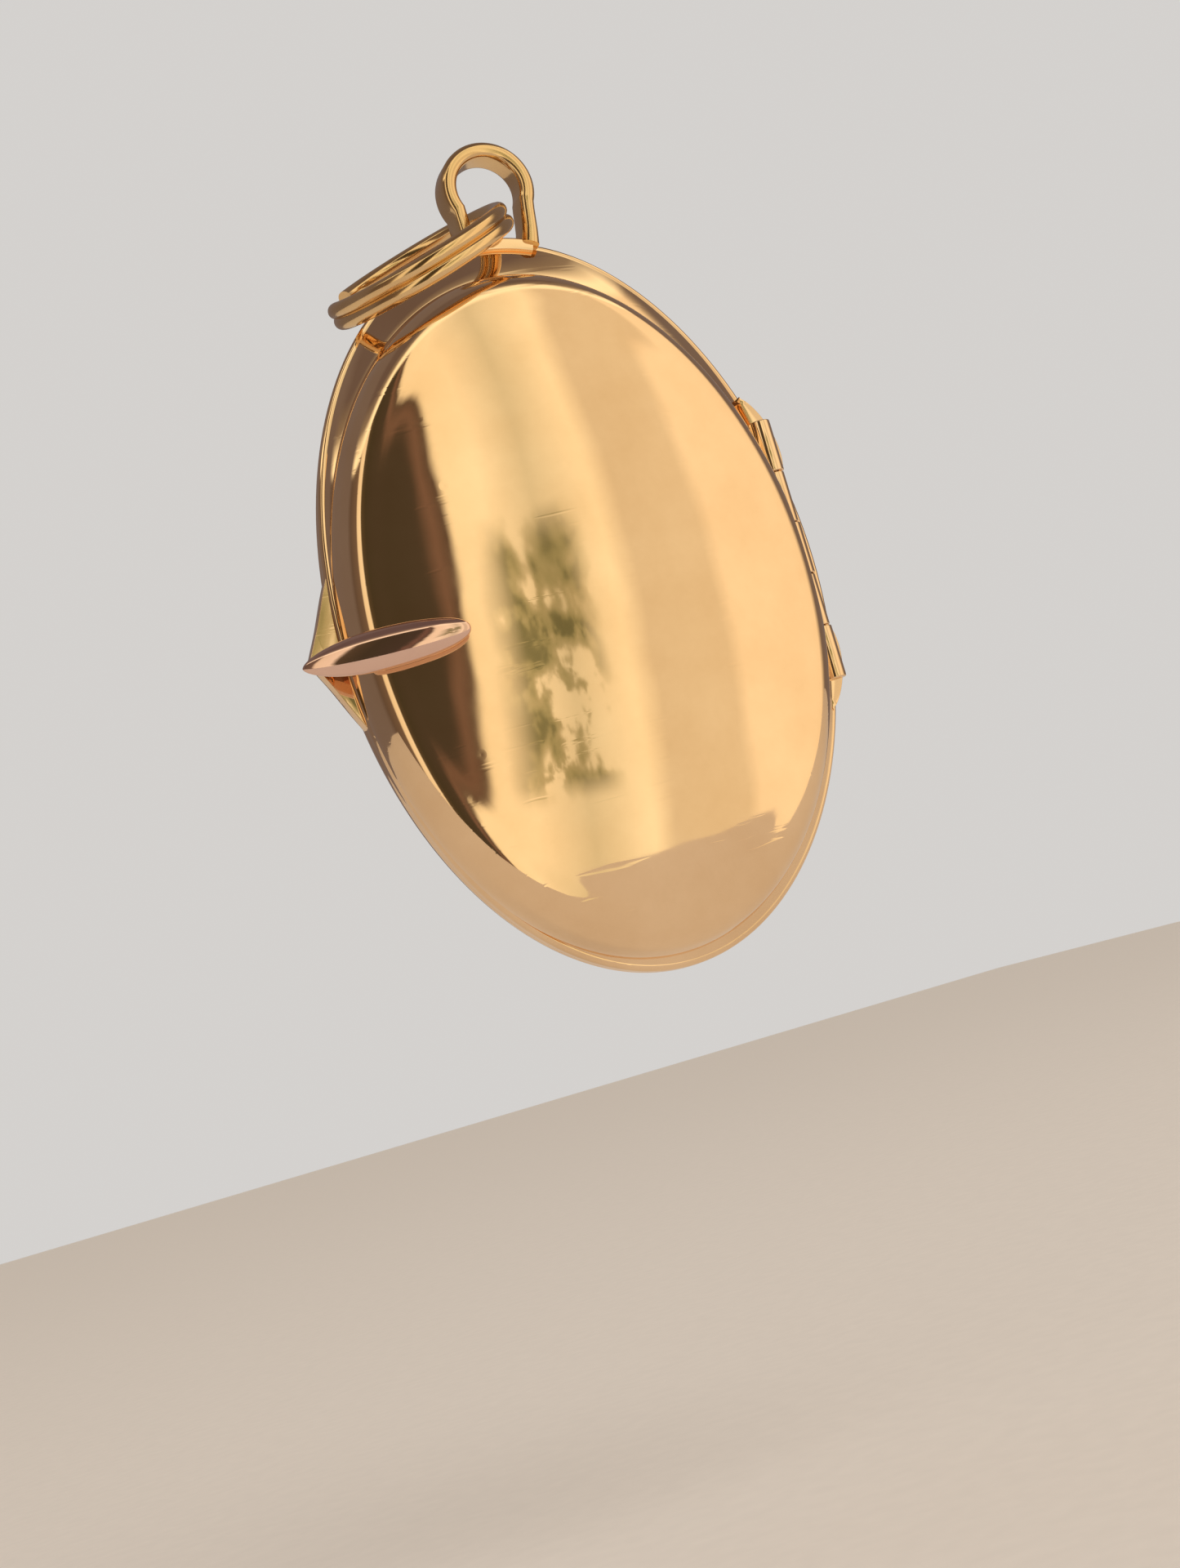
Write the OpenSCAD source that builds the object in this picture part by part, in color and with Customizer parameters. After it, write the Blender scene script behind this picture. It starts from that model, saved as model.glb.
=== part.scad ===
// Oval locket: two pressed shells on a five-knuckle hinge, a thumb leaf on the cover,
// a pendant loop on the case and a two-turn split ring in the loop.
// +Z runs up the long axis, the cover faces -Y and the hinge is on the +X side.
// The origin is the middle of the pendant loop's eye.

/* [Case] */
// Height of the case
case_h = 30; // [29:0.1:31]
// Width of the case
case_w = 20.3; // [20:0.1:20.6]
// Extra depth of the case's dome behind its rim
case_bulge = 1.0; // [0.6:0.1:1.6]
// Width of the flat ledge that carries the cover's edge
ledge_w = 0.85; // [0.7:0.05:0.9]

/* [Cover] */
// Height of the cover
cover_h = 27.7; // [27.2:0.1:28]
// Width of the cover
cover_w = 19.4; // [19.2:0.1:19.5]
// Extra depth of the cover's dome in front of its shoulder
cover_bulge = 1.6; // [1.2:0.1:2.2]
// How far the cover sits away from the hinge
cover_shift = 0.35; // [0.3:0.05:0.4]
// How far the cover sits towards the foot of the case
cover_drop = 0.65; // [0.5:0.05:0.8]
// Gap between cover and case at the seam
seam = 0.05; // [0.03:0.01:0.08]

/* [Hinge] */
// Length of the five knuckles together
barrel_l = 11; // [10:0.1:11.5]
// Radius of the case's knuckles
knuckle_r = 0.46; // [0.44:0.01:0.46]
// Radius of the cover's knuckles
cover_knuckle_r = 0.42; // [0.4:0.01:0.43]
// Radius of the hinge pin
pin_r = 0.2; // [0.18:0.01:0.2]
// Gap between neighbouring knuckles
knuckle_gap = 0.04; // [0.03:0.01:0.06]

/* [Thumb pieces] */
// Length of the leaf on the cover
leaf_l = 6.4; // [6:0.1:7]
// Height of the leaf at its middle
leaf_w = 1.55; // [1.3:0.05:1.7]
// Thickness of the leaf at its middle
leaf_t = 1.1; // [0.9:0.05:1.2]
// How far the case's lug reaches beyond the case
lug_reach = 1.2; // [0.9:0.05:1.4]

/* [Loop and ring] */
// Radius of the pendant loop's eye
eye_r = 1.3; // [1.25:0.05:1.4]
// Radial thickness of the pendant loop
loop_t = 0.6; // [0.5:0.05:0.7]
// Width of the pendant loop from front to back
loop_w = 1.4; // [1.2:0.1:1.5]
// How far the pendant loop stands towards the hinge side
loop_shift = 0.85; // [0.7:0.05:1.2]
// Radius to the middle of the split ring's wire
ring_r = 3.8; // [3.7:0.05:4.2]
// Radius of the split ring's wire
wire_r = 0.32; // [0.28:0.01:0.33]

/* [Hidden] */

segments = 64;
case_a = case_h / 2;
case_b = case_w / 2;
cover_a = cover_h / 2;
cover_b = cover_w / 2;
hinge_x = case_b - 0.75;
hinge_y = 0.3;
pitch = barrel_l / 5;
cut_x = hinge_x - 0.53;
eye = [loop_shift, 0.6, case_a + 2.05];
ring_anchor = eye - [0, 0, 1.1];

// Rings of the two shells as [inset from the edge, depth, scale], from the seam to the middle of the dome
case_outer = [
  [0.25, 0, 1], [0.07, -0.07, 1], [0, -0.25, 1], [0, -0.9, 1],
  [0.15, -1.4, 1], [0.5, -1.85, 1], [1.1, -2.1, 1]
];
case_inner = [[0.5, 0, 1], [0.5, -0.9, 1], [0.6, -1.25, 1], [0.95, -1.55, 1], [1.4, -1.72, 1]];
cover_outer = [[0, -seam, 1], [0.1, -0.7, 1], [0.3, -1.2, 1], [0.75, -1.65, 1]];
cover_inner = [[0.35, -seam, 1], [0.45, -0.65, 1], [0.64, -1.02, 1], [0.95, -1.3, 1]];

// Point of an ellipse at angle t, moved inwards along its normal
function edge_point(a, b, t, inset) = let (n = [cos(t) / b, sin(t) / a]) [b * cos(t), a * sin(t)] - inset * n / norm(n);
function outline(a, b, inset = 0) = [for (i = [0:segments - 1]) edge_point(a, b, 360 * i / segments, inset)];
function ring(a, b, r) = [for (p = outline(a, b, r[0])) [r[2] * p[0], r[1], r[2] * p[1]]];

// The dome continues the last ring of a profile and rises like a paraboloid
function dome(last, bulge) = [for (k = [0.85, 0.65, 0.42, 0.2]) [last[0], last[1] - bulge * (1 - k * k), k]];
function with_dome(rings, bulge) = concat(rings, dome(rings[len(rings) - 1], bulge));

function next(i) = (i + 1) % segments;
function outward(from, to) = [for (i = [0:segments - 1])
  each [[from + i, to + i, to + next(i)], [from + i, to + next(i), from + next(i)]]];
function inward(from, to) = [for (i = [0:segments - 1])
  each [[from + i, from + next(i), to + next(i)], [from + i, to + next(i), to + i]]];

// Pressed shell with an even wall, bulging towards -Y
module shell(a, b, outer_profile, inner_profile, bulge) {
  outer = with_dome(outer_profile, bulge);
  inner = with_dome(inner_profile, bulge);
  tip = len(outer) * segments;
  inside = tip + 1;
  inner_tip = inside + len(inner) * segments;
  last = tip - segments;
  inner_last = inner_tip - segments;
  points = concat(
    [for (r = outer) each ring(a, b, r)],
    [[0, outer_profile[len(outer_profile) - 1][1] - bulge, 0]],
    [for (r = inner) each ring(a, b, r)],
    [[0, inner_profile[len(inner_profile) - 1][1] - bulge, 0]]
  );
  faces = concat(
    [for (j = [0:len(outer) - 2]) each outward(j * segments, (j + 1) * segments)],
    [for (i = [0:segments - 1]) [last + i, tip, last + next(i)]],
    inward(0, inside),
    [for (j = [0:len(inner) - 2]) each inward(inside + j * segments, inside + (j + 1) * segments)],
    [for (i = [0:segments - 1]) [inner_last + i, inner_last + next(i), inner_tip]]
  );
  polyhedron(points, faces, convexity = 6);
}

// Everything is drawn about the middle of the case and then moved so that the eye is the origin
module placed() translate(-eye) children();
module on_cover() translate([-cover_shift, 0, -cover_drop]) children();

// Flat plate in the seam's plane from y0 to y1
module slab(y0, y1) translate([0, y1, 0]) rotate([90, 0, 0]) linear_extrude(y1 - y0) children();

module case_outline(inset = 0) polygon(outline(case_a, case_b, inset));
module cover_outline(inset = 0) polygon(outline(cover_a, cover_b, inset));
module band(y0, y1, outer, inner) slab(y0, y1) difference() {
  cover_outline(outer);
  cover_outline(inner);
}

module along_hinge(z0, z1) translate([hinge_x, hinge_y, z0]) linear_extrude(z1 - z0) children();

// Channel for the barrel, wider where the cover's knuckles turn
module barrel_channel() {
  along_hinge(-barrel_l / 2 - 0.02, barrel_l / 2 + 0.02) circle(knuckle_r + 0.01, $fn = 48);
  for (z = [-1.5, 0.5]) along_hinge(z * pitch, (z + 1) * pitch) circle(cover_knuckle_r + 0.2, $fn = 48);
}

module back_case() placed() color("goldenrod") difference() {
  mirror([0, 1, 0]) shell(case_a, case_b, case_outer, case_inner, case_bulge);
  barrel_channel();
}

module case_ledge() placed() color("goldenrod") difference() {
  slab(0, 0.35) difference() {
    case_outline(0.5);
    translate([-cover_shift, -cover_drop]) cover_outline(ledge_w);
  }
  barrel_channel();
}

// Thin upstand on the ledge that the cover snaps over
module snap_bezel() placed() color("gold") slab(-0.5, 0) difference() {
  translate([-cover_shift, -cover_drop]) difference() {
    cover_outline(0.55);
    cover_outline(ledge_w);
  }
  translate([cut_x - 0.4, -10]) square([3, 20]);
}

module back_photo_frame() placed() color("gold") on_cover() {
  band(-0.1, 0.6, ledge_w + 0.03, 1.15);
  band(-0.1, 0.06, 1.14, 1.6);
}

module back_glass() placed() color("azure", 0.4) on_cover() slab(0.07, 0.27) cover_outline(1.17);
module back_card() placed() color("wheat") on_cover() slab(0.275, 0.375) cover_outline(1.17);

module sleeve(z0, z1, r, bore) along_hinge(z0, z1) difference() {
  circle(r, $fn = 48);
  circle(bore, $fn = 32);
}

// The end knuckles are filed down to a line just outside the case's edge
module end_knuckle() intersection() {
  sleeve(1.5 * pitch + knuckle_gap / 2, 2.5 * pitch, knuckle_r, pin_r);
  slab(-1, 2) case_outline(-0.3);
}

module knuckle_bottom() placed() color("gold") mirror([0, 0, 1]) end_knuckle();
module knuckle_middle() placed() color("gold")
  sleeve(-0.5 * pitch + knuckle_gap / 2, 0.5 * pitch - knuckle_gap / 2, knuckle_r, pin_r);
module knuckle_top() placed() color("gold") end_knuckle();
module hinge_pin() placed() color("darkgoldenrod") along_hinge(-barrel_l / 2, barrel_l / 2) circle(pin_r, $fn = 32);

// Small cheek that fairs the end of the barrel into the case's edge
module cheek() slab(0.27, 0.88) difference() {
  intersection() {
    case_outline(-0.3);
    translate([0, barrel_l / 2 + 0.02]) square([case_b + 1, 1.12]);
  }
  case_outline();
}

module hinge_cheek_top() placed() color("gold") cheek();
module hinge_cheek_bottom() placed() color("gold") mirror([0, 0, 1]) cheek();

module thumb_lug() placed() color("gold") slab(0.27, 0.88) difference() {
  polygon([[1.5 - case_b, 3.6], [-case_b - lug_reach + 0.1, 0.1], [-case_b - lug_reach, -0.05],
           [-case_b - lug_reach, -0.25], [-case_b - lug_reach + 0.1, -0.4], [1.5 - case_b, -3.9]]);
  case_outline();
}

// Horseshoe of flat section whose feet stand on the seat
module pendant_loop() color("gold") slab(-loop_w / 2, loop_w / 2) difference() {
  union() {
    circle(eye_r + loop_t, $fn = 96);
    polygon([[-1.85, -0.4], [-2.1, -2.1], [2.1, -2.1], [1.85, -0.4]]);
  }
  circle(eye_r, $fn = 96);
  translate([-eye_r, -3]) square([2 * eye_r, 3]);
  translate([-eye[0], -eye[2]]) case_outline(-0.3);
}

module loop_seat() placed() color("gold") slab(0.05, 1.15) difference() {
  intersection() {
    case_outline(-0.3);
    translate([eye[0] - 2.15, case_a - 2]) square([4.3, 4]);
  }
  case_outline();
}

module front_cover() placed() color("gold") difference() {
  on_cover() shell(cover_a, cover_b, cover_outer, cover_inner, cover_bulge);
  translate([cut_x, -3, -6]) cube([2, 4, 12]);
}

module cover_seat() placed() color("gold") on_cover() band(-1.2, -1.06, 0.85, 1.7);
module cover_card() placed() color("wheat") on_cover() slab(-1.05, -0.97) cover_outline(0.96);
module cover_glass() placed() color("azure", 0.4) on_cover() slab(-0.965, -0.775) cover_outline(0.96);

module cover_photo_frame() placed() color("gold") on_cover() {
  band(-1.05, -0.6, 0.68, 0.94);
  band(-0.77, -0.6, 0.93, 1.45);
}

// Bar inside the cover's straight edge that carries its knuckles
module cover_hinge_bearer() placed() color("gold") slab(-0.58, -seam) intersection() {
  translate([-cover_shift, -cover_drop]) cover_outline(0.36);
  translate([cut_x - 0.25, -6]) square([0.25, 12]);
}

module cover_knuckle(z) {
  z0 = z + knuckle_gap / 2;
  sleeve(z0, z0 + pitch - knuckle_gap, cover_knuckle_r, pin_r + 0.03);
  translate([cut_x, -0.2, z0]) cube([0.38, 0.3, pitch - knuckle_gap]);
}

module cover_knuckle_lower() placed() color("gold") cover_knuckle(-1.5 * pitch);
module cover_knuckle_upper() placed() color("gold") cover_knuckle(0.5 * pitch);

// Plan of the leaf: two arcs that meet in points
module lens(l, w) {
  r = (l * l + w * w) / (4 * w);
  intersection() {
    translate([0, r - w / 2]) circle(r, $fn = 192);
    translate([0, w / 2 - r]) circle(r, $fn = 192);
  }
}

module thumb_leaf() placed() color("gold") translate([-9.1, -2.3, -0.78]) rotate([0, 1.5, -17.5]) intersection() {
  translate([0, 2, 0]) rotate([90, 0, 0]) linear_extrude(4) lens(leaf_l, leaf_w);
  translate([0, 0, -2]) linear_extrude(4) lens(leaf_l, leaf_t);
}

module split_ring() placed() color("gold")
  translate(ring_anchor) rotate([0, -22.5, 0]) rotate([16, 0, 0]) translate([-ring_r, 0, 0])
  rotate_extrude($fn = 96) {
    translate([ring_r, 0.25]) circle(wire_r, $fn = 24);
    translate([ring_r, -0.25]) circle(wire_r, $fn = 24);
  }

back_case();
case_ledge();
snap_bezel();
back_photo_frame();
back_glass();
back_card();
knuckle_bottom();
knuckle_middle();
knuckle_top();
hinge_pin();
hinge_cheek_top();
hinge_cheek_bottom();
thumb_lug();
pendant_loop();
loop_seat();
front_cover();
cover_seat();
cover_card();
cover_glass();
cover_photo_frame();
cover_hinge_bearer();
cover_knuckle_lower();
cover_knuckle_upper();
thumb_leaf();
split_ring();
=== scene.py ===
# Oval locket with a hinged cover, thumb leaf and lug, pendant loop and split ring.
import math

import bmesh
import bpy
from mathutils import Matrix, Vector


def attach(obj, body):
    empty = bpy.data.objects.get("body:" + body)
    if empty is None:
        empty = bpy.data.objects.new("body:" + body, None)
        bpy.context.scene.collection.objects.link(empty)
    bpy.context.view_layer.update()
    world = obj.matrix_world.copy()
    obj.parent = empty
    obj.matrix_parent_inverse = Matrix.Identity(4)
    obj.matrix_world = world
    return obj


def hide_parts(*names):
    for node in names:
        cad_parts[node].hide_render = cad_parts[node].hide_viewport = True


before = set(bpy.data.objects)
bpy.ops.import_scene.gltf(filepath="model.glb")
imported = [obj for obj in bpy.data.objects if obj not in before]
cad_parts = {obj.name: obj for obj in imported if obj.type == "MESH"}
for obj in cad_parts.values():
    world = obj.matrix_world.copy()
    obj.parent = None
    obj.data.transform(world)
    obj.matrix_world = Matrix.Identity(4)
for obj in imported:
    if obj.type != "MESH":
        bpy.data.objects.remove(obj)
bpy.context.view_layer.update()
print("frame loaded")

# All sizes below are in millimetres from the middle of the case; the eye of the loop is the origin
eye = Vector((0.85, 0.6, 17.05))
caseOval = {"a": 15.0, "b": 10.15, "x": 0.0, "z": 0.0}
coverOval = {"a": 13.85, "b": 9.7, "x": -0.35, "z": -0.65}
hinge = {"x": 9.4, "y": 0.3, "pitch": 2.2, "gap": 0.02}
mergeDistance = 0.0008
scene = bpy.context.scene
scene.view_settings.view_transform = "Standard"

# Camera
camValues = {"turn": -20, "rise": -6, "roll": 16.2, "distance": 93.6, "right": -0.1, "up": 7.4, "lens": 54.94}


def addCamera(v):
    turn, rise, roll = (math.radians(v[k]) for k in ("turn", "rise", "roll"))
    side = Vector((math.cos(turn), math.sin(turn), 0))
    back = Vector((math.sin(turn) * math.cos(rise), -math.cos(turn) * math.cos(rise), math.sin(rise)))
    top = back.cross(side)
    right = side * math.cos(roll) - top * math.sin(roll)
    up = side * math.sin(roll) + top * math.cos(roll)
    place = back * v["distance"] - right * v["right"] - up * v["up"] - eye
    cam = bpy.data.cameras.new("camera")
    cam.sensor_fit = "VERTICAL"
    cam.sensor_height = 36
    cam.lens = v["lens"]
    cam.clip_start = 0.001
    cam.clip_end = 5
    obj = bpy.data.objects.new("camera", cam)
    scene.collection.objects.link(obj)
    obj.matrix_world = Matrix.Translation(place * 0.001) @ Matrix((right, up, back)).transposed().to_4x4()
    scene.camera = obj


addCamera(camValues)
print("camera set")


# Node helpers
def addNode(tree, kind, inputs=None, **settings):
    node = tree.nodes.new(kind)
    for name, value in settings.items():
        setattr(node, name, value)
    for name, value in (inputs or {}).items():
        if isinstance(value, bpy.types.NodeSocket):
            tree.links.new(value, node.inputs[name])
        else:
            node.inputs[name].default_value = value
    return node


def ramp(tree, source, stops):
    node = addNode(tree, "ShaderNodeValToRGB", {"Fac": source})
    band = node.color_ramp
    while len(band.elements) < len(stops):
        band.elements.new(0.5)
    for element, (place, colour) in zip(band.elements, stops):
        element.position = place
    for element, (place, colour) in zip(band.elements, stops):
        element.color = (*colour, 1)
    return node.outputs["Color"]


def grey(v):
    return (v, v, v)


def newMaterial(name):
    mat = bpy.data.materials.new(name)
    mat.use_nodes = True
    shader = mat.node_tree.nodes["Principled BSDF"]
    coord = addNode(mat.node_tree, "ShaderNodeTexCoord").outputs["Object"]
    return mat, mat.node_tree, shader, coord


# Polished gold: faint cloudiness in the colour, hairline scratches and a few pits
def goldMaterial(name, v):
    mat, tree, shader, coord = newMaterial(name)
    clouds = addNode(tree, "ShaderNodeTexNoise", {"Vector": coord, "Scale": v["cloudScale"],
                                                  "Detail": 5, "Roughness": 0.6})
    tint = ramp(tree, clouds.outputs["Fac"], [(0.3, v["dark"]), (0.7, v["light"])])
    tree.links.new(tint, shader.inputs["Base Color"])
    shader.inputs["Metallic"].default_value = 1
    smears = addNode(tree, "ShaderNodeTexNoise", {"Vector": coord, "Scale": v["smearScale"],
                                                  "Detail": 6, "Roughness": 0.65})
    rough = addNode(tree, "ShaderNodeMapRange", {"Value": smears.outputs["Fac"],
                                                 "From Min": 0.35, "From Max": 0.7,
                                                 "To Min": v["smooth"], "To Max": v["rough"]})
    tree.links.new(rough.outputs["Result"], shader.inputs["Roughness"])
    height = None
    for i, angle in enumerate(v["scratchAngles"]):
        turned = addNode(tree, "ShaderNodeMapping", {"Vector": coord, "Rotation": (0.3 * i, angle, 0.2),
                                                     "Scale": v["scratchScale"]})
        lines = addNode(tree, "ShaderNodeTexNoise", {"Vector": turned.outputs["Vector"], "Scale": 1.5,
                                                     "Detail": 2})
        thin = ramp(tree, lines.outputs["Fac"], [(0.66, grey(0)), (0.74, grey(1))])
        height = thin if height is None else addNode(tree, "ShaderNodeMix", {6: height, 7: thin, 0: 1.0},
                                                     data_type="RGBA", blend_type="LIGHTEN").outputs[2]
    pits = addNode(tree, "ShaderNodeTexVoronoi", {"Vector": coord, "Scale": v["pitScale"], "Randomness": 1.0})
    holes = ramp(tree, pits.outputs["Distance"], [(0.0, grey(1)), (v["pitSize"], grey(0))])
    both = addNode(tree, "ShaderNodeMix", {6: height, 7: holes, 0: 1.0}, data_type="RGBA", blend_type="ADD")
    fine = addNode(tree, "ShaderNodeBump", {"Height": both.outputs[2], "Strength": v["scratch"],
                                            "Distance": v["scratchDepth"]}, invert=True)
    waves = addNode(tree, "ShaderNodeTexNoise", {"Vector": coord, "Scale": v["waveScale"],
                                                 "Detail": 2, "Roughness": 0.4})
    dents = addNode(tree, "ShaderNodeBump", {"Height": waves.outputs["Fac"], "Normal": fine.outputs["Normal"],
                                             "Strength": 1, "Distance": v["wave"]})
    tree.links.new(dents.outputs["Normal"], shader.inputs["Normal"])
    return mat


roseValues = {"dark": (0.86, 0.60, 0.355), "light": (0.94, 0.685, 0.43), "cloudScale": 260, "smearScale": 340,
              "smooth": 0.025, "rough": 0.08, "scratchAngles": (0.6, 1.5, 2.6), "scratch": 0.24,
              "scratchScale": (60, 900, 1400), "scratchDepth": 0.000004,
              "pitScale": 420, "pitSize": 0.09, "waveScale": 160, "wave": 0.000028}
rose = goldMaterial("rose gold", roseValues)
leafGoldValues = dict(roseValues, dark=(0.78, 0.52, 0.42), light=(0.86, 0.60, 0.48), wave=0.000005)
yellowValues = dict(roseValues, dark=(0.76, 0.50, 0.24), light=(0.86, 0.62, 0.33), wave=0.00001,
                    smooth=0.10, rough=0.2)
pinGoldValues = dict(roseValues, dark=(0.62, 0.38, 0.2), light=(0.7, 0.46, 0.26), wave=0.000005)
leafGold = goldMaterial("leaf gold", leafGoldValues)
yellow = goldMaterial("yellow gold", yellowValues)
pinGold = goldMaterial("pin gold", pinGoldValues)


def glassMaterial(v):
    mat, tree, shader, coord = newMaterial("locket glass")
    dust = addNode(tree, "ShaderNodeTexNoise", {"Vector": coord, "Scale": v["dustScale"], "Detail": 4})
    rough = addNode(tree, "ShaderNodeMapRange", {"Value": dust.outputs["Fac"],
                                                 "From Min": 0.45, "From Max": 0.8,
                                                 "To Min": v["clean"], "To Max": v["dusty"]})
    tree.links.new(rough.outputs["Result"], shader.inputs["Roughness"])
    shader.inputs["Base Color"].default_value = (0.93, 0.95, 0.93, 1)
    shader.inputs["Transmission Weight"].default_value = 1
    shader.inputs["IOR"].default_value = 1.49
    return mat


def cardMaterial(v):
    mat, tree, shader, coord = newMaterial("old card")
    stain = addNode(tree, "ShaderNodeTexNoise", {"Vector": coord, "Scale": v["stainScale"],
                                                 "Detail": 6, "Roughness": 0.7})
    tint = ramp(tree, stain.outputs["Fac"], [(0.3, v["stain"]), (0.6, v["clean"])])
    tree.links.new(tint, shader.inputs["Base Color"])
    fibre = addNode(tree, "ShaderNodeTexNoise", {"Vector": coord, "Scale": v["fibreScale"], "Detail": 3})
    bump = addNode(tree, "ShaderNodeBump", {"Height": fibre.outputs["Fac"], "Strength": 0.3,
                                            "Distance": v["fibreDepth"]})
    tree.links.new(bump.outputs["Normal"], shader.inputs["Normal"])
    shader.inputs["Roughness"].default_value = 0.85
    return mat


glassValues = {"clean": 0.02, "dusty": 0.12, "dustScale": 900}
cardValues = {"stain": (0.45, 0.34, 0.2), "clean": (0.72, 0.62, 0.46), "stainScale": 180, "fibreScale": 6000,
              "fibreDepth": 0.00003}
glass = glassMaterial(glassValues)
card = cardMaterial(cardValues)
print("materials made")


# Mesh helpers
def finishPiece(name, bm, mat, body, stands=(), smooth=35):
    bmesh.ops.remove_doubles(bm, verts=bm.verts, dist=mergeDistance)
    bmesh.ops.translate(bm, verts=bm.verts, vec=-eye)
    bmesh.ops.scale(bm, verts=bm.verts, vec=(0.001, 0.001, 0.001))
    bmesh.ops.recalc_face_normals(bm, faces=bm.faces)
    for face in bm.faces:
        face.smooth = True
    for edge in bm.edges:
        edge.smooth = not (len(edge.link_faces) == 2 and edge.calc_face_angle(0) > math.radians(smooth))
    mesh = bpy.data.meshes.new(name)
    bm.to_mesh(mesh)
    bm.free()
    mesh.materials.append(mat)
    obj = bpy.data.objects.new(name, mesh)
    scene.collection.objects.link(obj)
    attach(obj, body)
    if stands:
        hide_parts(*stands)
    return obj


# Takes cutters, given as bmeshes in millimetres, out of a bmesh in millimetres
def cutAway(bm, cutters):
    parts = []
    for part in (bm, *cutters):
        mesh = bpy.data.meshes.new("cut")
        bmesh.ops.recalc_face_normals(part, faces=part.faces)
        part.to_mesh(mesh)
        part.free()
        obj = bpy.data.objects.new("cut", mesh)
        scene.collection.objects.link(obj)
        parts.append(obj)
    for cutter in parts[1:]:
        mod = parts[0].modifiers.new("cut", "BOOLEAN")
        mod.operation = "DIFFERENCE"
        mod.solver = "EXACT"
        mod.object = cutter
    result = bmesh.new()
    result.from_object(parts[0], bpy.context.evaluated_depsgraph_get())
    for obj in parts:
        bpy.data.objects.remove(obj)
    return result


# Catmull-Rom curve through points
def softLine(points, steps):
    pts = [Vector(p) for p in points]
    line = []
    for i in range(len(pts) - 1):
        p0, p1, p2, p3 = pts[max(i - 1, 0)], pts[i], pts[i + 1], pts[min(i + 2, len(pts) - 1)]
        for s in range(steps):
            t = s / steps
            line.append(0.5 * (2 * p1 + (p2 - p0) * t + (2 * p0 - 5 * p1 + 4 * p2 - p3) * t * t
                               + (3 * p1 - p0 - 3 * p2 + p3) * t ** 3))
    return line + [pts[-1]]


def ovalPoint(oval, t, inset, scale=1.0):
    normal = Vector((math.cos(t) / oval["b"], math.sin(t) / oval["a"])).normalized()
    return (Vector((oval["b"] * math.cos(t), oval["a"] * math.sin(t))) - inset * normal) * scale


# Row of vertices joined by edges, ready to be spun
def addLine(bm, points, closed=True):
    verts = [bm.verts.new(p) for p in points]
    for i in range(len(verts) - (0 if closed else 1)):
        bm.edges.new((verts[i], verts[(i + 1) % len(verts)]))


# Spins a profile of (distance from the edge, depth) and stretches the round result to the oval.
# Past the distance in centre the rings shrink towards the middle. A lining is spun far out, then brought in.
def ovalSpin(oval, profile, centre=99.0, closed=False, rounding=0.0, start=0.0, sweep=360.0, steps=192,
             lining=(), liningCentre=99.0):
    bm = bmesh.new()
    b = oval["b"]
    far = 100
    addLine(bm, [(b - d, 0, y) for d, y in profile] + [(b - d + far, 0, y) for d, y in lining], closed)
    if rounding:
        bmesh.ops.bevel(bm, geom=bm.verts[:], offset=rounding, offset_type="OFFSET", segments=4, profile=0.5,
                        affect="VERTICES")
    bmesh.ops.rotate(bm, verts=bm.verts, matrix=Matrix.Rotation(math.radians(start), 3, "Z"))
    full = sweep >= 360
    bmesh.ops.spin(bm, geom=bm.verts[:] + bm.edges[:], axis=(0, 0, 1), cent=(0, 0, 0),
                   angle=math.radians(sweep), steps=steps, use_merge=full)
    if not full:
        bmesh.ops.holes_fill(bm, edges=[e for e in bm.edges if e.is_boundary], sides=0)
    for v in bm.verts:
        t = math.atan2(v.co.y, v.co.x)
        r = v.co.xy.length
        middle = centre if r < far / 2 else liningCentre
        d = b - (r if r < far / 2 else r - far)
        p = ovalPoint(oval, t, min(d, middle), 1 if d <= middle else max((b - d) / (b - middle), 0))
        v.co = (p.x + oval["x"], v.co.z, p.y + oval["z"])
    bmesh.ops.remove_doubles(bm, verts=bm.verts, dist=mergeDistance)
    return bm


# Adds the paraboloid of a dome to a rim profile, both as (distance, depth)
def domed(oval, rim, bulge, facing):
    last = rim[-1]
    half = oval["b"] - last[0]
    widths = (0.9, 0.78, 0.64, 0.5, 0.36, 0.22, 0.1, 0)
    dome = [(oval["b"] - k * half, last[1] + bulge * (1 - k * k)) for k in widths]
    return [(d, facing * y) for d, y in softLine(list(rim) + dome, 6)]


# Pressed shell: outer skin from its middle to the rim, then the inner skin back to the middle
def pressedShell(oval, outer, inner, bulge, facing):
    skin = domed(oval, outer, bulge, facing)[::-1]
    lining = domed(oval, inner, bulge, facing)
    return ovalSpin(oval, skin, centre=outer[-1][0], lining=lining, liningCentre=inner[-1][0])


def rod(x, y, z0, z1, r, segments=64):
    bm = bmesh.new()
    bmesh.ops.create_cone(bm, cap_ends=True, segments=segments, radius1=r, radius2=r, depth=z1 - z0,
                          matrix=Matrix.Translation((x, y, (z0 + z1) / 2)))
    return bm


def block(low, high, soft=0):
    bm = bmesh.new()
    size = Vector(high) - Vector(low)
    middle = (Vector(low) + Vector(high)) / 2
    bmesh.ops.create_cube(bm, size=1, matrix=Matrix.Translation(middle) @ Matrix.Diagonal((*size, 1)))
    if soft:
        bmesh.ops.bevel(bm, geom=bm.edges[:], offset=soft, segments=2, profile=0.5, affect="EDGES")
    return bm


# Room for the knuckles in the case's edge, with a slot behind each cover knuckle for its tab
channelValues = {"radius": 0.475, "spare": 0.02, "slotIn": 8.84, "slotOut": 9.2, "slotFront": -0.2,
                 "slotBack": 0.14}


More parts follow.
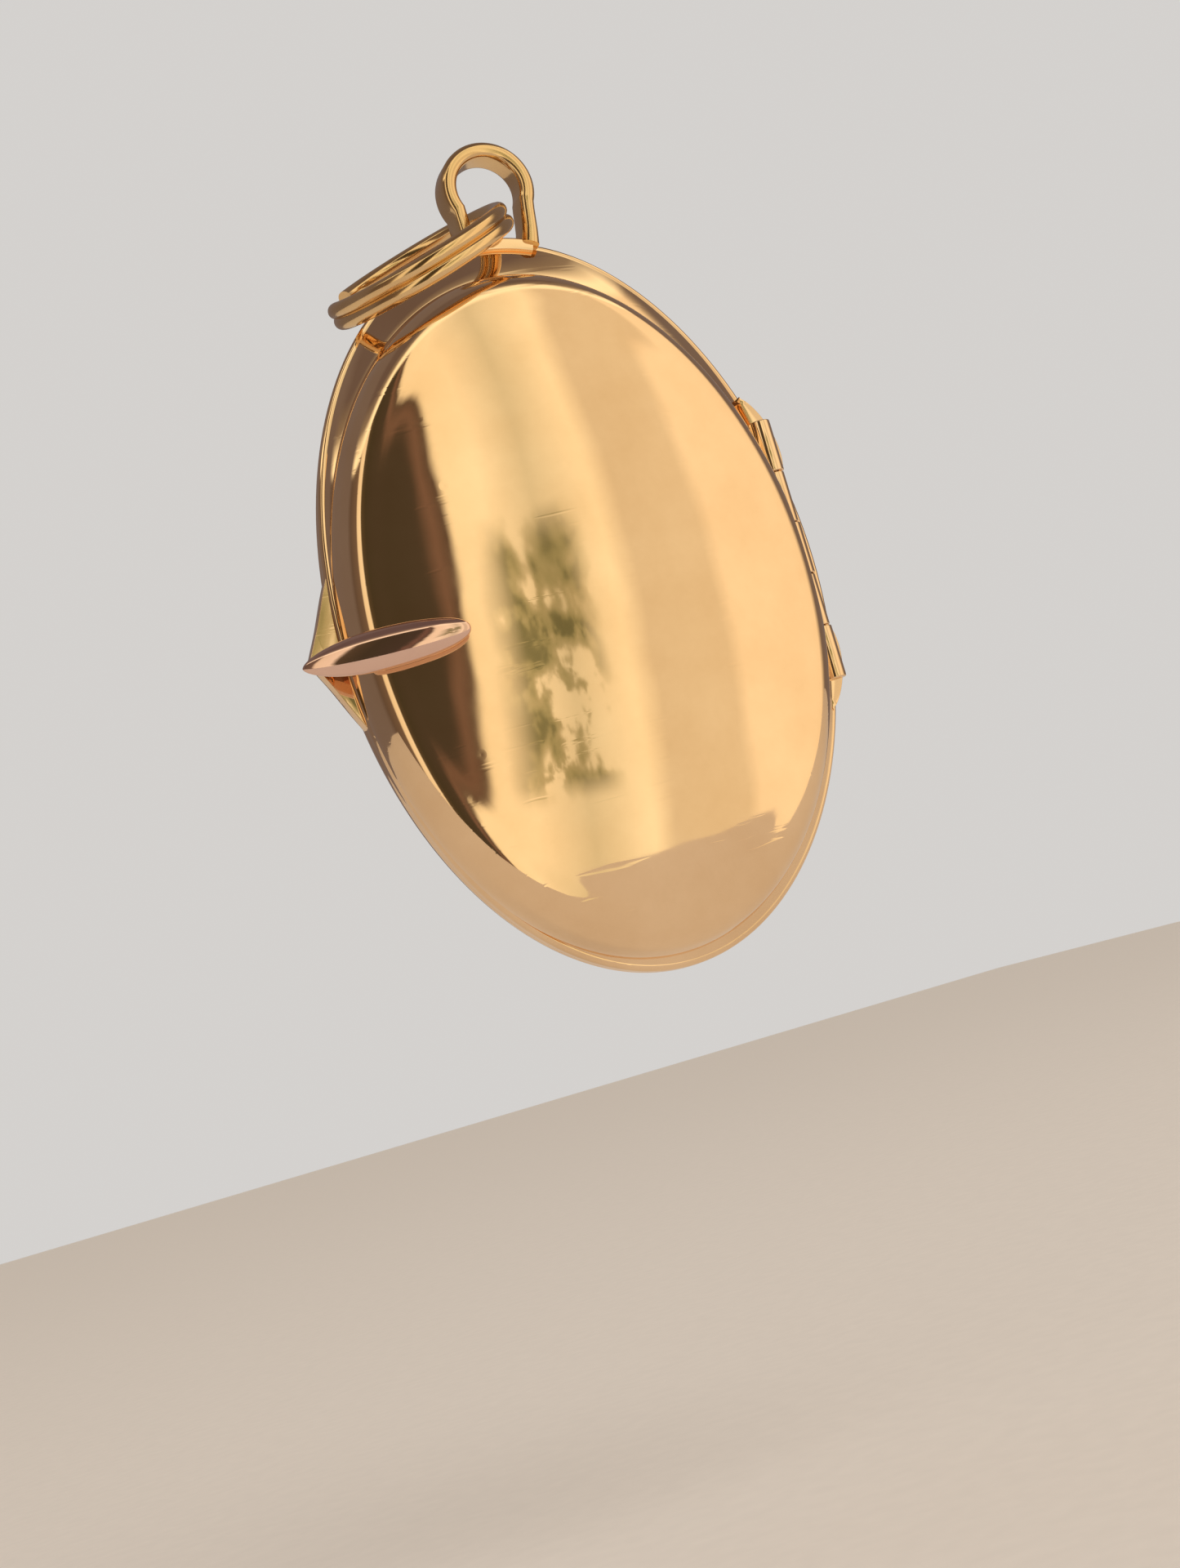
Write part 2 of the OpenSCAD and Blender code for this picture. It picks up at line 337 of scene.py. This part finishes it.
def channel(v=channelValues):
    half = 2.5 * hinge["pitch"] + v["spare"]
    cuts = [rod(hinge["x"], hinge["y"], -half, half, v["radius"])]
    for z in (-1.5, 0.5):
        low = (v["slotIn"], v["slotFront"], z * hinge["pitch"])
        cuts.append(block(low, (v["slotOut"], v["slotBack"], (z + 1) * hinge["pitch"])))
    return cuts


# Width of the case's edge outside the cover, in millimetres, at angle t
def bandWidth(t):
    edge, lid = ovalPoint(caseOval, t, 0), ovalPoint(coverOval, t, 0)
    return max((edge - lid - Vector((coverOval["x"], coverOval["z"]))).dot(edge.normalized()), 0)


# Back case: where the edge outside the cover is wide, it slopes back towards the outside
caseValues = {"outer": ((0.25, 0), (0.09, 0.05), (0.0, 0.25), (0.0, 0.55), (0.0, 0.9), (0.14, 1.4),
                        (0.5, 1.85), (1.1, 2.13)),
              "inner": ((0.5, 0), (0.5, 0.5), (0.5, 0.9), (0.6, 1.25), (0.95, 1.55), (1.4, 1.74)),
              "bulge": 0.97, "slope": 0.56, "slopeEnd": 1.0, "slopeWidth": 1.2}


def slopeAt(t):
    return caseValues["slope"] * min(bandWidth(t), caseValues["slopeWidth"])


shell = pressedShell(caseOval, caseValues["outer"], caseValues["inner"], caseValues["bulge"], 1)
for vert in shell.verts:
    if vert.co.y < caseValues["slopeEnd"]:
        t = math.atan2(vert.co.z * caseOval["b"], vert.co.x * caseOval["a"])
        vert.co.y += slopeAt(t) * (1 - vert.co.y / caseValues["slopeEnd"])
finishPiece("back_case_shell", cutAway(shell, channel()), rose, "case", ("back_case",))

# Flat ledge under the cover's rim, around the hole for the photo
ledgeValues = {"thick": 0.35, "edge": 0.08, "inner": 0.85}


def ledgePlate(v):
    profile = [(v["edge"], 0), (v["edge"], v["thick"]), (v["inner"], v["thick"]), (v["inner"], 0)]
    return cutAway(ovalSpin(coverOval, profile, closed=True, rounding=0.03), channel())


ledge = ledgePlate(ledgeValues)
finishPiece("case_ledge_plate", ledge, rose, "case", ("case_ledge",), smooth=25)


# Skin of the sloping edge, from under the cover's rim out to the case's wall
def slopeSkin(v):
    bm = bmesh.new()
    bmesh.ops.create_circle(bm, segments=192, radius=1)
    loop = bm.edges[:]
    rings = [bm.verts[:]]
    for i in range(v["rings"] + 3):
        made = bmesh.ops.extrude_edge_only(bm, edges=loop)["geom"]
        rings.append([g for g in made if isinstance(g, bmesh.types.BMVert)])
        loop = [g for g in made if isinstance(g, bmesh.types.BMEdge) and all(w in rings[-1] for w in g.verts)]
    front = [(i / v["rings"], 0) for i in range(v["rings"] + 1)]
    behind = [(1, v["thick"]), (0, v["thick"]), (0, 0)]
    for ring, (across, depth) in zip(rings, front + behind):
        for vert in ring:
            t = math.atan2(vert.co.y, vert.co.x)
            lid = ovalPoint(coverOval, t, v["under"]) + Vector((coverOval["x"], coverOval["z"]))
            p = lid.lerp(ovalPoint(caseOval, t, v["edge"]), across)
            vert.co = (p.x, v["lift"] + slopeAt(t) * across ** v["round"] + depth, p.y)
    bmesh.ops.remove_doubles(bm, verts=bm.verts, dist=mergeDistance)
    return cutAway(bm, channel())


slopeValues = {"rings": 14, "under": 0.12, "edge": 0.22, "lift": -0.01, "round": 1.35, "thick": 0.3}
finishPiece("case_edge_slope", slopeSkin(slopeValues), rose, "case")

# Snap bezel: a thin upstand, open along the hinge
bezelValues = {"outer": 0.55, "inner": 0.85, "height": 0.5, "openFrom": 8.47}


def bezelBand(v):
    profile = [(v["outer"], 0.02), (v["outer"] - 0.01, -0.25), (v["outer"] + 0.06, -v["height"]),
               (v["inner"] - 0.06, -v["height"]), (v["inner"], -0.25), (v["inner"], 0.02)]
    bm = ovalSpin(coverOval, profile, closed=True, rounding=0.04)
    return cutAway(bm, [block((v["openFrom"], -1, -16), (12, 1, 16))])


finishPiece("snap_bezel_band", bezelBand(bezelValues), rose, "case", ("snap_bezel",))


# Photo frames: a wall with a rolled lip over the glass
def photoFrame(v):
    lipEnd = v["front"] + v["roll"]
    profile = [(v["edge"], v["back"]), (v["edge"], v["front"]), (v["lip"], v["front"] + 0.5 * v["roll"]),
               (v["lip"], lipEnd), (v["inner"], lipEnd), (v["inner"], v["back"])]
    return ovalSpin(coverOval, profile, closed=True, rounding=0.035)


backFrameValues = {"edge": 0.88, "inner": 1.15, "lip": 1.6, "front": -0.1, "back": 0.6, "roll": 0.155}
coverFrameValues = {"edge": 0.68, "inner": 0.94, "lip": 1.45, "front": -0.6, "back": -1.05, "roll": -0.165}
backFrame = photoFrame(backFrameValues)
coverFrame = photoFrame(coverFrameValues)
finishPiece("back_photo_bezel", backFrame, yellow, "case", ("back_photo_frame",))
finishPiece("cover_photo_bezel", coverFrame, yellow, "cover", ("cover_photo_frame",))


# Glasses and cards: flat ovals with a soft edge, given as the inset and the front and back depth
glazingValues = {"backGlass": (1.17, 0.07, 0.27), "backCard": (1.17, 0.275, 0.375),
                 "coverGlass": (0.96, -0.965, -0.775), "coverCard": (0.96, -1.05, -0.97)}


def flatOval(inset, y0, y1):
    soft = 0.2 * abs(y1 - y0)
    half = coverOval["b"]
    profile = [(half, y0), (inset + soft, y0), (inset, y0 + soft), (inset, y1 - soft), (inset + soft, y1),
               (half, y1)]
    return ovalSpin(coverOval, profile, centre=inset + soft, steps=128)


for body, mat, slotName in (("back", glass, "glass"), ("back", card, "card"), ("cover", glass, "glass"),
                            ("cover", card, "card")):
    bm = flatOval(*glazingValues[body + slotName.capitalize()])
    node = body + "_" + slotName
    finishPiece(node + "_oval", bm, mat, "case" if body == "back" else "cover", (node,))

# Seat that the cover's card and frame stand on
coverSeatValues = {"outer": 0.86, "inner": 1.7, "front": -1.2, "back": -1.06}


def coverSeat(v):
    profile = [(v["outer"], v["front"]), (v["outer"], v["back"]), (v["inner"], v["back"]),
               (v["inner"], v["front"])]
    return ovalSpin(coverOval, profile, closed=True, rounding=0.03)


finishPiece("cover_seat_band", coverSeat(coverSeatValues), rose, "cover", ("cover_seat",))
print("case and inner pieces made")

# Front cover: fuller dome with a rounded shoulder and a straight edge at the hinge
coverValues = {"outer": ((0.0, 0.05), (0.02, 0.35), (0.1, 0.7), (0.3, 1.2), (0.75, 1.66)),
               "inner": ((0.35, 0.05), (0.38, 0.35), (0.45, 0.65), (0.64, 1.02), (0.95, 1.3)),
               "bulge": 1.59, "hingeEdge": 8.87}
shell = pressedShell(coverOval, coverValues["outer"], coverValues["inner"], coverValues["bulge"], -1)
shell = cutAway(shell, [block((coverValues["hingeEdge"], -3, -6), (11, 1, 6))])
finishPiece("front_cover_shell", shell, rose, "cover", ("front_cover",))

# Hinge: five sleeves on one pin, the outer two filed towards the case's edge
hingeValues = {"caseRadius": 0.46, "coverRadius": 0.42, "caseBore": 0.2, "coverBore": 0.23, "soft": 0.05,
               "filedAt": 0.3, "pinRadius": 0.195,
               "tabIn": 8.86, "tabOut": 9.1, "tabFront": -0.2, "tabBack": 0.1,
               "barLow": (8.64, -0.6, -4.2), "barHigh": (8.86, -0.06, 2.9), "blockSoft": 0.04}


def sleeve(z0, z1, r, bore, soft):
    bm = bmesh.new()
    addLine(bm, [(bore, 0, z0), (r, 0, z0), (r, 0, z1), (bore, 0, z1)])
    bmesh.ops.bevel(bm, geom=bm.verts[:], offset=soft, offset_type="OFFSET", segments=3, profile=0.5,
                    affect="VERTICES")
    bmesh.ops.spin(bm, geom=bm.verts[:] + bm.edges[:], axis=(0, 0, 1), cent=(0, 0, 0), angle=math.tau,
                   steps=48, use_merge=True)
    bmesh.ops.translate(bm, verts=bm.verts, vec=(hinge["x"], hinge["y"], 0))
    return bm


def makeHinge(v):
    p, gap = hinge["pitch"], hinge["gap"]
    for name, z in (("knuckle_bottom", -2.5), ("knuckle_middle", -0.5), ("knuckle_top", 1.5)):
        low = z * p + (gap if z > -2.5 else 0)
        high = (z + 1) * p - (gap if z < 1.5 else 0)
        bm = sleeve(low, high, v["caseRadius"], v["caseBore"], v["soft"])
        if name != "knuckle_middle":
            at = -v["filedAt"]
            filed = ovalSpin(caseOval, [(-3, -2), (at, -2), (at, 3), (-3, 3)], closed=True)
            bm = cutAway(bm, [filed])
        finishPiece(name + "_sleeve", bm, rose, "case", (name,))
    for name, z in (("cover_knuckle_lower", -1.5), ("cover_knuckle_upper", 0.5)):
        bm = sleeve(z * p + gap, (z + 1) * p - gap, v["coverRadius"], v["coverBore"], v["soft"])
        finishPiece(name + "_sleeve", bm, rose, "cover", (name,))
        tab = block((v["tabIn"], v["tabFront"], z * p + gap), (v["tabOut"], v["tabBack"], (z + 1) * p - gap),
                    v["blockSoft"])
        finishPiece(name + "_tab", tab, rose, "cover")
    pin = rod(hinge["x"], hinge["y"], -2.5 * p, 2.5 * p, v["pinRadius"], 32)
    rims = [e for e in pin.edges if abs(e.verts[0].co.z - e.verts[1].co.z) < 0.01]
    bmesh.ops.bevel(pin, geom=rims, offset=0.05, segments=3, profile=0.5, affect="EDGES")
    finishPiece("hinge_pin_rod", pin, pinGold, "case", ("hinge_pin",))
    bar = block(v["barLow"], v["barHigh"], v["blockSoft"])
    finishPiece("cover_bearer_bar", bar, rose, "cover", ("cover_hinge_bearer",))


makeHinge(hingeValues)


# Strap of square section let into the case's edge, from one angle to another
def edgeStrap(v, start, steps):
    profile = [(-v["proud"], v["low"]), (-v["proud"], v["high"]), (v["inner"], v["high"]),
               (v["inner"], v["low"])]
    return ovalSpin(caseOval, profile, closed=True, rounding=v["soft"], start=start,
                    sweep=v["to"] - v["from"], steps=steps)


# Cheeks: slim boat shapes that fair the barrel's ends into the case's edge
def cheek(v, up):
    bm = edgeStrap(v, v["from"] if up else -v["to"], 36)
    bmesh.ops.recalc_face_normals(bm, faces=bm.faces)
    tip = caseOval["a"] * math.sin(math.radians(v["to"]))
    base = caseOval["a"] * math.sin(math.radians(v["from"]))
    for vert in bm.verts:
        along = min(max((abs(vert.co.z) - base) / (tip - base), 0.004), 0.996)
        root = caseOval["b"] * math.sqrt(max(1 - (vert.co.z / caseOval["a"]) ** 2, 0)) - v["bury"]
        vert.co.x = root + (vert.co.x - root) * math.sin(math.pi * along) ** 0.5
    return bm


cheekValues = {"proud": 0.3, "inner": 0.4, "bury": 0.22, "low": 0.27, "high": 0.88, "soft": 0.05,
               "from": 12.5, "to": 26.2}
for end in ("top", "bottom"):
    node = "hinge_cheek_" + end
    finishPiece(node + "_boat", cheek(cheekValues, end == "top"), rose, "case", (node,))
print("cover and hinge made")

# Thumb lug: flat triangle with hollow sides on the case's edge
lugValues = {"reach": 11.35, "low": 0.27, "high": 0.88, "top": 3.3, "bottom": -3.6}


def thumbLug(v):
    bm = bmesh.new()
    side = softLine([(-9.7, v["top"]), (-10.25, 2.2), (-10.8, 1.0), (-v["reach"] + 0.1, 0.12),
                     (-v["reach"], -0.12), (-v["reach"] + 0.1, -0.42), (-10.8, -1.3), (-10.25, -2.5),
                     (-9.7, v["bottom"])], 5)
    face = bm.faces.new([bm.verts.new((p.x, v["low"], p.y)) for p in side])
    out = bmesh.ops.extrude_face_region(bm, geom=[face])
    far = [g for g in out["geom"] if isinstance(g, bmesh.types.BMVert)]
    bmesh.ops.translate(bm, verts=far, vec=(0, v["high"] - v["low"], 0))
    rims = [e for e in bm.edges if abs(e.verts[0].co.y - e.verts[1].co.y) < 0.001]
    bmesh.ops.bevel(bm, geom=rims, offset=0.11, segments=4, profile=0.5, affect="EDGES", clamp_overlap=True)
    return bm


finishPiece("thumb_lug_plate", thumbLug(lugValues), rose, "case", ("thumb_lug",), smooth=50)

# Thumb leaf: boat-shaped bead that lies on the cover and reaches over its edge
leafValues = {"length": 6.4, "width": 1.6, "thick": 1.05, "middle": (-9.1, -2.3, -0.78), "turn": -17.5,
              "tilt": 1.5}


def thumbLeaf(v):
    bm = bmesh.new()
    bmesh.ops.create_uvsphere(bm, u_segments=64, v_segments=48, radius=1,
                              matrix=Matrix.Rotation(math.pi / 2, 4, "Y"))
    for vert in bm.verts:
        s = vert.co.x
        narrowing = math.sqrt(max(1 - s * s, 1e-9))
        full = (1 - s * s) ** (0.45 if s > 0 else 0.62)
        vert.co.y *= full / narrowing
        vert.co.z *= full / narrowing
    bmesh.ops.scale(bm, verts=bm.verts, vec=(v["length"] / 2, v["thick"] / 2, v["width"] / 2))
    turn = Matrix.Rotation(math.radians(v["turn"]), 3, "Z") @ Matrix.Rotation(math.radians(v["tilt"]), 3, "Y")
    bmesh.ops.rotate(bm, verts=bm.verts, matrix=turn)
    bmesh.ops.translate(bm, verts=bm.verts, vec=v["middle"])
    return bm


finishPiece("thumb_leaf_bead", thumbLeaf(leafValues), leafGold, "cover", ("thumb_leaf",))

# Pendant loop: flat band bent over into a horseshoe, with feet that spread on the seat
loopValues = {"inner": 1.3, "thick": 0.64, "wide": 1.4, "soft": 0.27, "past": 26, "lean": -0.03, "back": 0.07,
              "footSteps": ((0.3, 1.0), (0.4, 1.0), (0.4, 1.03), (0.3, 1.06), (0.3, 1.1)), "leftFoot": 0.82}


def pendantLoop(v):
    bm = bmesh.new()
    mid = v["inner"] + v["thick"] / 2
    outer = v["inner"] + v["thick"]
    half = v["wide"] / 2
    addLine(bm, [(v["inner"], -half, 0), (outer, -half, 0), (outer, half, 0), (v["inner"], half, 0)])
    bmesh.ops.bevel(bm, geom=bm.verts[:], offset=v["soft"], offset_type="OFFSET", segments=5, profile=0.5,
                    affect="VERTICES")
    bmesh.ops.rotate(bm, verts=bm.verts, matrix=Matrix.Rotation(math.radians(v["past"]), 3, "Y"))
    bmesh.ops.spin(bm, geom=bm.verts[:] + bm.edges[:], axis=(0, -1, 0), cent=(0, 0, 0),
                   angle=math.radians(180 + 2 * v["past"]), steps=56)
    for side in (1, -1):
        loop = [e for e in bm.edges if e.is_boundary and e.verts[0].co.x * side > 0]
        for drop, spread in v["footSteps"]:
            made = bmesh.ops.extrude_edge_only(bm, edges=loop)["geom"]
            ends = [g for g in made if isinstance(g, bmesh.types.BMVert)]
            loop = [g for g in made if isinstance(g, bmesh.types.BMEdge) and all(w in ends for w in g.verts)]
            fall = drop if side > 0 else v["leftFoot"] * drop
            bmesh.ops.translate(bm, verts=ends, vec=(side * v["lean"], v["back"], -fall))
            bmesh.ops.scale(bm, verts=ends, vec=(spread, 1 + (spread - 1) * 0.3, 1),
                            space=Matrix.Translation((-side * mid, 0, 0)))
    bmesh.ops.translate(bm, verts=bm.verts, vec=eye)
    bmesh.ops.holes_fill(bm, edges=[e for e in bm.edges if e.is_boundary], sides=0)
    return bm


finishPiece("pendant_loop_band", pendantLoop(loopValues), yellow, "case", ("pendant_loop",))

# Seat: a short strap on the case's edge under the loop's feet
seatValues = {"proud": 0.12, "inner": 0.4, "low": 0.42, "high": 1.15, "soft": 0.1, "from": 77.5, "to": 92}
seat = edgeStrap(seatValues, seatValues["from"], 24)
finishPiece("loop_seat_saddle", seat, rose, "case", ("loop_seat",))

# Split ring: two turns of round wire pressed together, with blunt ends
ringValues = {"radius": 3.8, "wire": 0.31, "half": 0.27, "start": 150, "turns": 1.93, "crossFrom": 310,
              "crossSweep": 75, "tilt": 16, "swing": -22.5, "hang": 1.1}


def splitRing(v):
    curve = bpy.data.curves.new("ring", "CURVE")
    curve.dimensions = "3D"
    curve.bevel_depth = v["wire"]
    curve.bevel_resolution = 8
    curve.use_fill_caps = True
    steps = 240
    spline = curve.splines.new("POLY")
    spline.points.add(steps)
    for i in range(steps + 1):
        turned = 360 * v["turns"] * i / steps
        shift = min(max((turned - v["crossFrom"]) / v["crossSweep"], 0), 1)
        shift = shift * shift * (3 - 2 * shift)
        t = math.radians(v["start"] + turned)
        along = v["half"] * (2 * shift - 1)
        spline.points[i].co = (v["radius"] * math.cos(t), v["radius"] * math.sin(t), along, 1)
    obj = bpy.data.objects.new("ring", curve)
    scene.collection.objects.link(obj)
    mesh = bpy.data.meshes.new_from_object(obj)
    bm = bmesh.new()
    bm.from_mesh(mesh)
    bpy.data.objects.remove(obj)
    bmesh.ops.translate(bm, verts=bm.verts, vec=(-v["radius"], 0, 0))
    tilt = Matrix.Rotation(math.radians(v["tilt"]), 3, "X")
    turn = Matrix.Rotation(math.radians(v["swing"]), 3, "Y") @ tilt
    bmesh.ops.rotate(bm, verts=bm.verts, matrix=turn)
    bmesh.ops.translate(bm, verts=bm.verts, vec=eye - Vector((0, 0, v["hang"])))
    return bm


finishPiece("split_ring_coil", splitRing(ringValues), yellow, "ring", ("split_ring",))
print("loop and ring made")

# Floor and light
stageValues = {"drop": 0.052, "front": -0.084, "size": 0.5, "floor": (0.87, 0.77, 0.67)}
lightValues = {"power": 0.27, "size": 0.25, "colour": (1.0, 0.97, 0.93), "place": (0.12, -0.2, 0.3),
               "aim": (0, 0, -0.017)}


def addFloor(v):
    bm = bmesh.new()
    bmesh.ops.create_grid(bm, x_segments=1, y_segments=1, size=v["size"])
    bmesh.ops.translate(bm, verts=bm.verts, vec=(0, v["front"] + v["size"], -v["drop"]))
    mesh = bpy.data.meshes.new("floor")
    bm.to_mesh(mesh)
    bm.free()
    mat, tree, shader, coord = newMaterial("floor paper")
    grain = addNode(tree, "ShaderNodeTexNoise", {"Vector": coord, "Scale": 900, "Detail": 4})
    low = tuple(0.97 * c for c in v["floor"])
    tint = ramp(tree, grain.outputs["Fac"], [(0.3, low), (0.7, v["floor"])])
    tree.links.new(tint, shader.inputs["Base Color"])
    shader.inputs["Roughness"].default_value = 0.8
    mesh.materials.append(mat)
    floor = bpy.data.objects.new("floor", mesh)
    scene.collection.objects.link(floor)


def addLight(v):
    light = bpy.data.lights.new("key", "AREA")
    light.energy = v["power"]
    light.size = v["size"]
    light.color = v["colour"]
    key = bpy.data.objects.new("key", light)
    scene.collection.objects.link(key)
    key.location = v["place"]
    key.rotation_euler = (Vector(v["aim"]) - key.location).to_track_quat("-Z", "Y").to_euler()
    key.visible_glossy = False


# Painted reflections: a soft surround that only glossy rays see, so it shows only in the polished gold. It
# has a dark screen painting the dark reflected band, a bright wall with a muted olive-spotted patch, and a
# bright ceiling, all painted reflections. The camera and matt surfaces see it plain and pale. The wall runs
# from left to right, and the spots' colours multiply it.
paintedReflectionValues = {
    "wall": [(0.0, (0.14, 0.1, 0.08)), (0.17, (0.2, 0.14, 0.1)), (0.2, (1.0, 0.85, 0.6)),
             (0.28, (1.1, 0.95, 0.7)), (0.3, (0.11, 0.08, 0.045)), (0.36, (0.07, 0.055, 0.032)),
             (0.425, (0.08, 0.06, 0.04)),
             (0.437, (0.22, 0.13, 0.09)), (0.45, (0.12, 0.08, 0.055)), (0.458, (1.15, 1.0, 0.7)),
             (0.5, (1.2, 1.07, 0.78)), (0.56, (0.82, 0.75, 0.53)), (0.63, (1.2, 1.07, 0.78)),
             (0.66, (0.86, 0.74, 0.54)), (0.75, (0.9, 0.77, 0.56)), (0.77, (1.15, 0.98, 0.72)),
             (0.92, (1.1, 0.92, 0.66)), (1.0, (0.4, 0.32, 0.24))],
    "reflectedSpots": [(0.44, grey(1)), (0.47, (0.55, 0.55, 0.45)), (0.53, (0.4, 0.42, 0.3)),
              (0.56, (0.22, 0.24, 0.17))],
    "patchAcross": [(0.475, grey(0)), (0.515, grey(1)), (0.58, grey(1)), (0.61, grey(0))],
    "patchUp": [(0.27, grey(0)), (0.3, grey(1)), (0.56, grey(1)), (0.6, grey(0))],
    "overhead": [(0.82, grey(0)), (0.84, grey(1))],
    "reflectedCeiling": [(0.86, (1.4, 1.27, 0.95)), (0.92, (0.3, 0.24, 0.18)), (1.0, (0.16, 0.12, 0.11))],
    "behind": (0.2, 0.16, 0.15, 1), "plain": (0.66, 0.64, 0.62, 1), "wobble": 0.05, "lean": -0.2}


def addMath(tree, operation, *values):
    return addNode(tree, "ShaderNodeMath", dict(enumerate(values)), operation=operation).outputs[0]


def addMix(tree, amount, first, second, blend="MIX"):
    return addNode(tree, "ShaderNodeMix", {0: amount, 6: first, 7: second}, data_type="RGBA",
                   blend_type=blend).outputs[2]


# Paints reflections on the gold: the banded colours reach glossy rays only
def addPaintedReflections(v):
    world = bpy.data.worlds.new("paintedReflectionRoom")
    world.use_nodes = True
    scene.world = world
    tree = world.node_tree
    direction = addNode(tree, "ShaderNodeTexCoord").outputs["Generated"]
    parts = addNode(tree, "ShaderNodeSeparateXYZ", {"Vector": direction})
    backwards = addMath(tree, "MULTIPLY", parts.outputs["Y"], -1.0)
    around = addMath(tree, "ARCTAN2", parts.outputs["X"], backwards)
    rise = addMath(tree, "ARCSINE", parts.outputs["Z"])
    wobble = addNode(tree, "ShaderNodeTexNoise", {"Vector": direction, "Scale": 5.0, "Detail": 5})
    shifted = addMath(tree, "MULTIPLY_ADD", wobble.outputs["Fac"], v["wobble"], around)
    leaned = addMath(tree, "MULTIPLY_ADD", rise, v["lean"], shifted)
    across = addNode(tree, "ShaderNodeMapRange", {"Value": leaned, "From Min": -1.5, "From Max": 1.5})
    level = addNode(tree, "ShaderNodeMapRange", {"Value": rise, "From Min": -0.6, "From Max": 1.0})
    across, level = across.outputs["Result"], level.outputs["Result"]

    # Olive spots painted into the reflected patch
    patch = addNode(tree, "ShaderNodeTexNoise", {"Vector": direction, "Scale": 6.5, "Detail": 6,
                                                 "Roughness": 0.62})
    reflectedSpots = ramp(tree, patch.outputs["Fac"], v["reflectedSpots"])
    patchAcross = ramp(tree, across, v["patchAcross"])
    inPatch = addMix(tree, 1.0, patchAcross, ramp(tree, level, v["patchUp"]), "MULTIPLY")
    muted = addMix(tree, inPatch, ramp(tree, across, v["wall"]), reflectedSpots, "MULTIPLY")
    topped = addMix(tree, ramp(tree, level, v["overhead"]), muted, ramp(tree, level, v["reflectedCeiling"]))
    behind = addNode(tree, "ShaderNodeMapRange", {"Value": parts.outputs["Y"], "From Min": -0.12,
                                                  "From Max": 0.06})
    surround = addMix(tree, behind.outputs["Result"], topped, v["behind"])
    # Camera and diffuse rays get the plain colour; only glossy rays see the painted reflections
    path = addNode(tree, "ShaderNodeLightPath")
    plain = addMath(tree, "MAXIMUM", path.outputs["Is Camera Ray"], path.outputs["Is Diffuse Ray"])
    paintedReflectionRoom = addMix(tree, plain, surround, v["plain"])
    tree.links.new(paintedReflectionRoom, tree.nodes["Background"].inputs["Color"])


addFloor(stageValues)
addLight(lightValues)
addPaintedReflections(paintedReflectionValues)
print("floor and light set")
